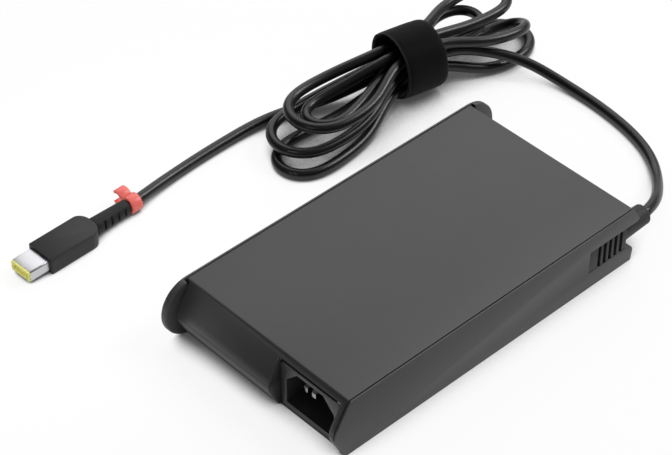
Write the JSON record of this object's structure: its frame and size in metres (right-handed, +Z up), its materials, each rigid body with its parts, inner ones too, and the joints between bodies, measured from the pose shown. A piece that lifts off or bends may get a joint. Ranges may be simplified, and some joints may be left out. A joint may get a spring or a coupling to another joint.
{
  "type": "laptop power adapter",
  "caption": "Slim laptop power adapter with rounded ends, a mains inlet, and an output cord tied in a hank by a fabric strap, with a red cord clip and a rectangular plug.",
  "frame": {"origin": "bottom centre of the case's bounding box, on the surface it stands on", "axes": "+X along the case from the mains inlet to the cord exit, +Y across it away from the side that has the cord exit, +Z up"},
  "size_m": [0.2522, 0.16, 0.0291],
  "materials": {
    "case": "fine matte texture",
    "inlet": "fine matte",
    "contact": "nickel plated, satin",
    "brown_wire": "satin",
    "green_wire": "satin",
    "board": "solder mask, semi-gloss",
    "insulation": "satin film",
    "heatsink": "mill finish",
    "black_epoxy": "satin",
    "yellow_box": "semi-gloss",
    "blue_disc": "semi-gloss",
    "ferrite": "matte ferrite",
    "enamelled_copper": "enamelled",
    "capacitor_sleeve": "semi-gloss sleeve",
    "winding_tape": "polyester tape",
    "cord": "satin",
    "strap": "woven hook and loop",
    "plug_body": "satin",
    "plug_tip": "semi-gloss",
    "gold": "gold plated",
    "clip": "satin"
  },
  "bodies": {
    "case": {"bottom_case": "case", "top_cover": "case", "inlet_housing": "inlet", "line_blade": "contact", "neutral_blade": "contact", "earth_blade": "contact", "power_wires": "brown_wire", "earth_wire": "green_wire", "circuit_board": "board", "insulation_sheet": "insulation", "bottom_heat_spreader": "heatsink", "top_heat_spreader": "heatsink", "fuse": "black_epoxy", "x_capacitor": "yellow_box", "y_capacitors": "blue_disc", "choke_core": "ferrite", "choke_windings": "enamelled_copper", "bridge_rectifier": "black_epoxy", "pfc_inductor": "ferrite", "bulk_capacitors": "capacitor_sleeve", "primary_heatsink": "heatsink", "primary_transistors": "black_epoxy", "transformer_core": "ferrite", "transformer_winding": "winding_tape", "secondary_heatsink": "heatsink", "rectifier_transistors": "black_epoxy", "output_capacitors": "capacitor_sleeve", "control_board": "board", "output_wires": "cord", "output_strain_relief": "cord", "cord_from_case": "cord", "cord_hank": "cord", "cord_strap": "strap", "cord_to_plug": "cord", "plug_boot": "cord", "plug_housing": "plug_body", "plug_shell": "contact", "plug_insulator": "plug_tip", "plug_centre_pin": "gold"},
    "clip": {"cord_clip": "clip"}
  },
  "joints": [
    {"name": "clip_swivel", "type": "hinge", "parent": "case", "child": "clip", "pos_m": [-0.04642, 0.1078, 0.0037], "axis": [0.9997, 0.0262, 0], "range_deg": [0, 180]}
  ]
}
